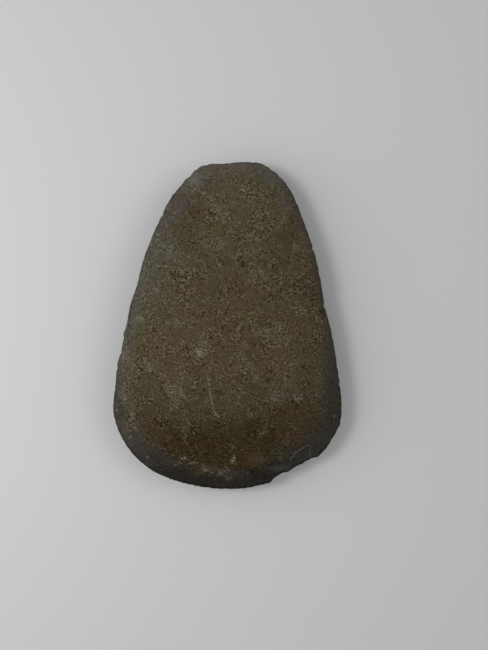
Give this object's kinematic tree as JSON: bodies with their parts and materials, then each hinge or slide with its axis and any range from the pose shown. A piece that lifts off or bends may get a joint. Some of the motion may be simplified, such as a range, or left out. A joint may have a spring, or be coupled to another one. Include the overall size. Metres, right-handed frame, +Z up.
{
  "type": "stone axe head",
  "caption": "Ground and polished stone axe head: narrow flat butt, rounded sides, broad faces and a wide curved cutting edge with a chip.",
  "frame": {"origin": "bottom centre of the bounding box, at the level of the worn flat that the stone lies on", "axes": "+Y along the axe head towards the narrow butt, -Y towards the cutting edge, +X across it, +Z up, through its thickness, towards the face seen in the picture"},
  "size_m": [0.077, 0.11, 0.019],
  "materials": {
    "polished_stone": "satin, ground and worn, speckled olive-brown patina with charcoal grey at the edges"
  },
  "bodies": {
    "root": {"axe_head": "polished_stone"}
  },
  "joints": []
}
